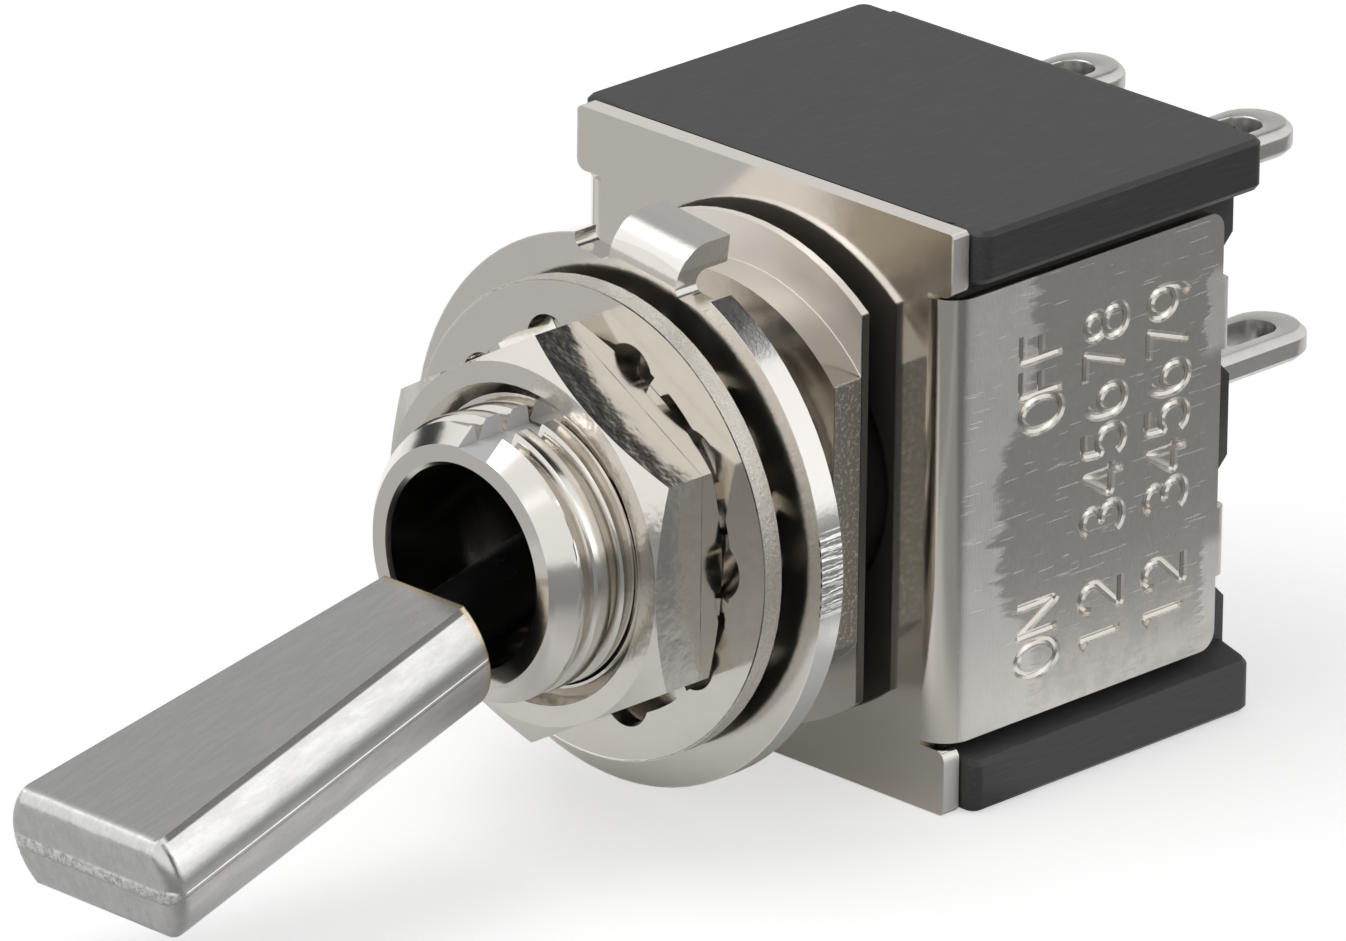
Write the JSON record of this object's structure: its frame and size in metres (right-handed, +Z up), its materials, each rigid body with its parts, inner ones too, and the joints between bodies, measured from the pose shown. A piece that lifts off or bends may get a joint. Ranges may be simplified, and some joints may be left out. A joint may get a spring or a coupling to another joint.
{
  "type": "panel toggle switch",
  "caption": "Miniature panel toggle switch with a flatted metal lever, threaded bushing with nut and locating ring, plated sheet frame, black case and solder lugs.",
  "frame": {"origin": "on the bushing's axis, at the front face of the sheet frame", "axes": "-Y along the bushing towards the lever, +Z up towards OFF, +X towards the lettered side wall"},
  "size_m": [0.0118, 0.0327, 0.0126],
  "materials": {
    "nickel_sheet": "bright nickel plate",
    "black_moulding": "matte moulded",
    "bushing_plate": "satin nickel plate",
    "hardware_plate": "satin plated",
    "lever_plate": "satin chrome plate",
    "steel_pin": "ground",
    "inner_moulding": "plain moulded",
    "plunger_brass": "plain turned",
    "spring_steel": "drawn wire",
    "rocker_copper": "plain strip",
    "contact_silver": "satin",
    "tinned_lug": "satin tin plate"
  },
  "bodies": {
    "base": {"frame": "nickel_sheet", "case": "black_moulding", "bushing": "bushing_plate", "mounting_nut": "hardware_plate", "lock_washer": "hardware_plate", "locating_ring": "hardware_plate", "terminal_upper_left": "tinned_lug", "terminal_upper_right": "tinned_lug", "terminal_middle_left": "tinned_lug", "terminal_middle_right": "tinned_lug", "fixed_contact_left": "contact_silver", "fixed_contact_right": "contact_silver"},
    "lever_body": {"lever": "lever_plate", "pivot_pin": "steel_pin", "actuator": "inner_moulding", "spring_left": "spring_steel", "spring_right": "spring_steel"},
    "plunger_left_body": {"plunger_left": "plunger_brass"},
    "plunger_right_body": {"plunger_right": "plunger_brass"},
    "rocker_left_body": {"rocker_left": "rocker_copper", "rocker_contact_left": "contact_silver"},
    "rocker_right_body": {"rocker_right": "rocker_copper", "rocker_contact_right": "contact_silver"}
  },
  "joints": [
    {"name": "lever_toggle", "type": "hinge", "parent": "base", "child": "lever_body", "pos_m": [0, -0.0037, 0], "axis": [-1, 0, 0], "range_deg": [0, 27]},
    {"name": "rocker_left_tilt", "type": "hinge", "parent": "base", "child": "rocker_left_body", "pos_m": [-0.0024, 0.00647, 0], "axis": [1, 0, 0], "range_deg": [0, 16]},
    {"name": "rocker_right_tilt", "type": "hinge", "parent": "base", "child": "rocker_right_body", "pos_m": [0.0024, 0.00647, 0], "axis": [1, 0, 0], "range_deg": [0, 16]},
    {"name": "plunger_left_slide", "type": "slide", "parent": "lever_body", "child": "plunger_left_body", "axis": [0, -0.9724, -0.2334], "range_m": [0, 0.0003], "stiffness_N_per_m": 800, "springref_m": -0.0006, "deforming": ["spring_left"]},
    {"name": "plunger_right_slide", "type": "slide", "parent": "lever_body", "child": "plunger_right_body", "axis": [0, -0.9724, -0.2334], "range_m": [0, 0.0003], "stiffness_N_per_m": 800, "springref_m": -0.0006, "deforming": ["spring_right"]}
  ],
  "couplings": [
    {"joint": "rocker_left_tilt", "follows": "lever_toggle", "ratio": 0.59259},
    {"joint": "rocker_right_tilt", "follows": "lever_toggle", "ratio": 0.59259}
  ]
}
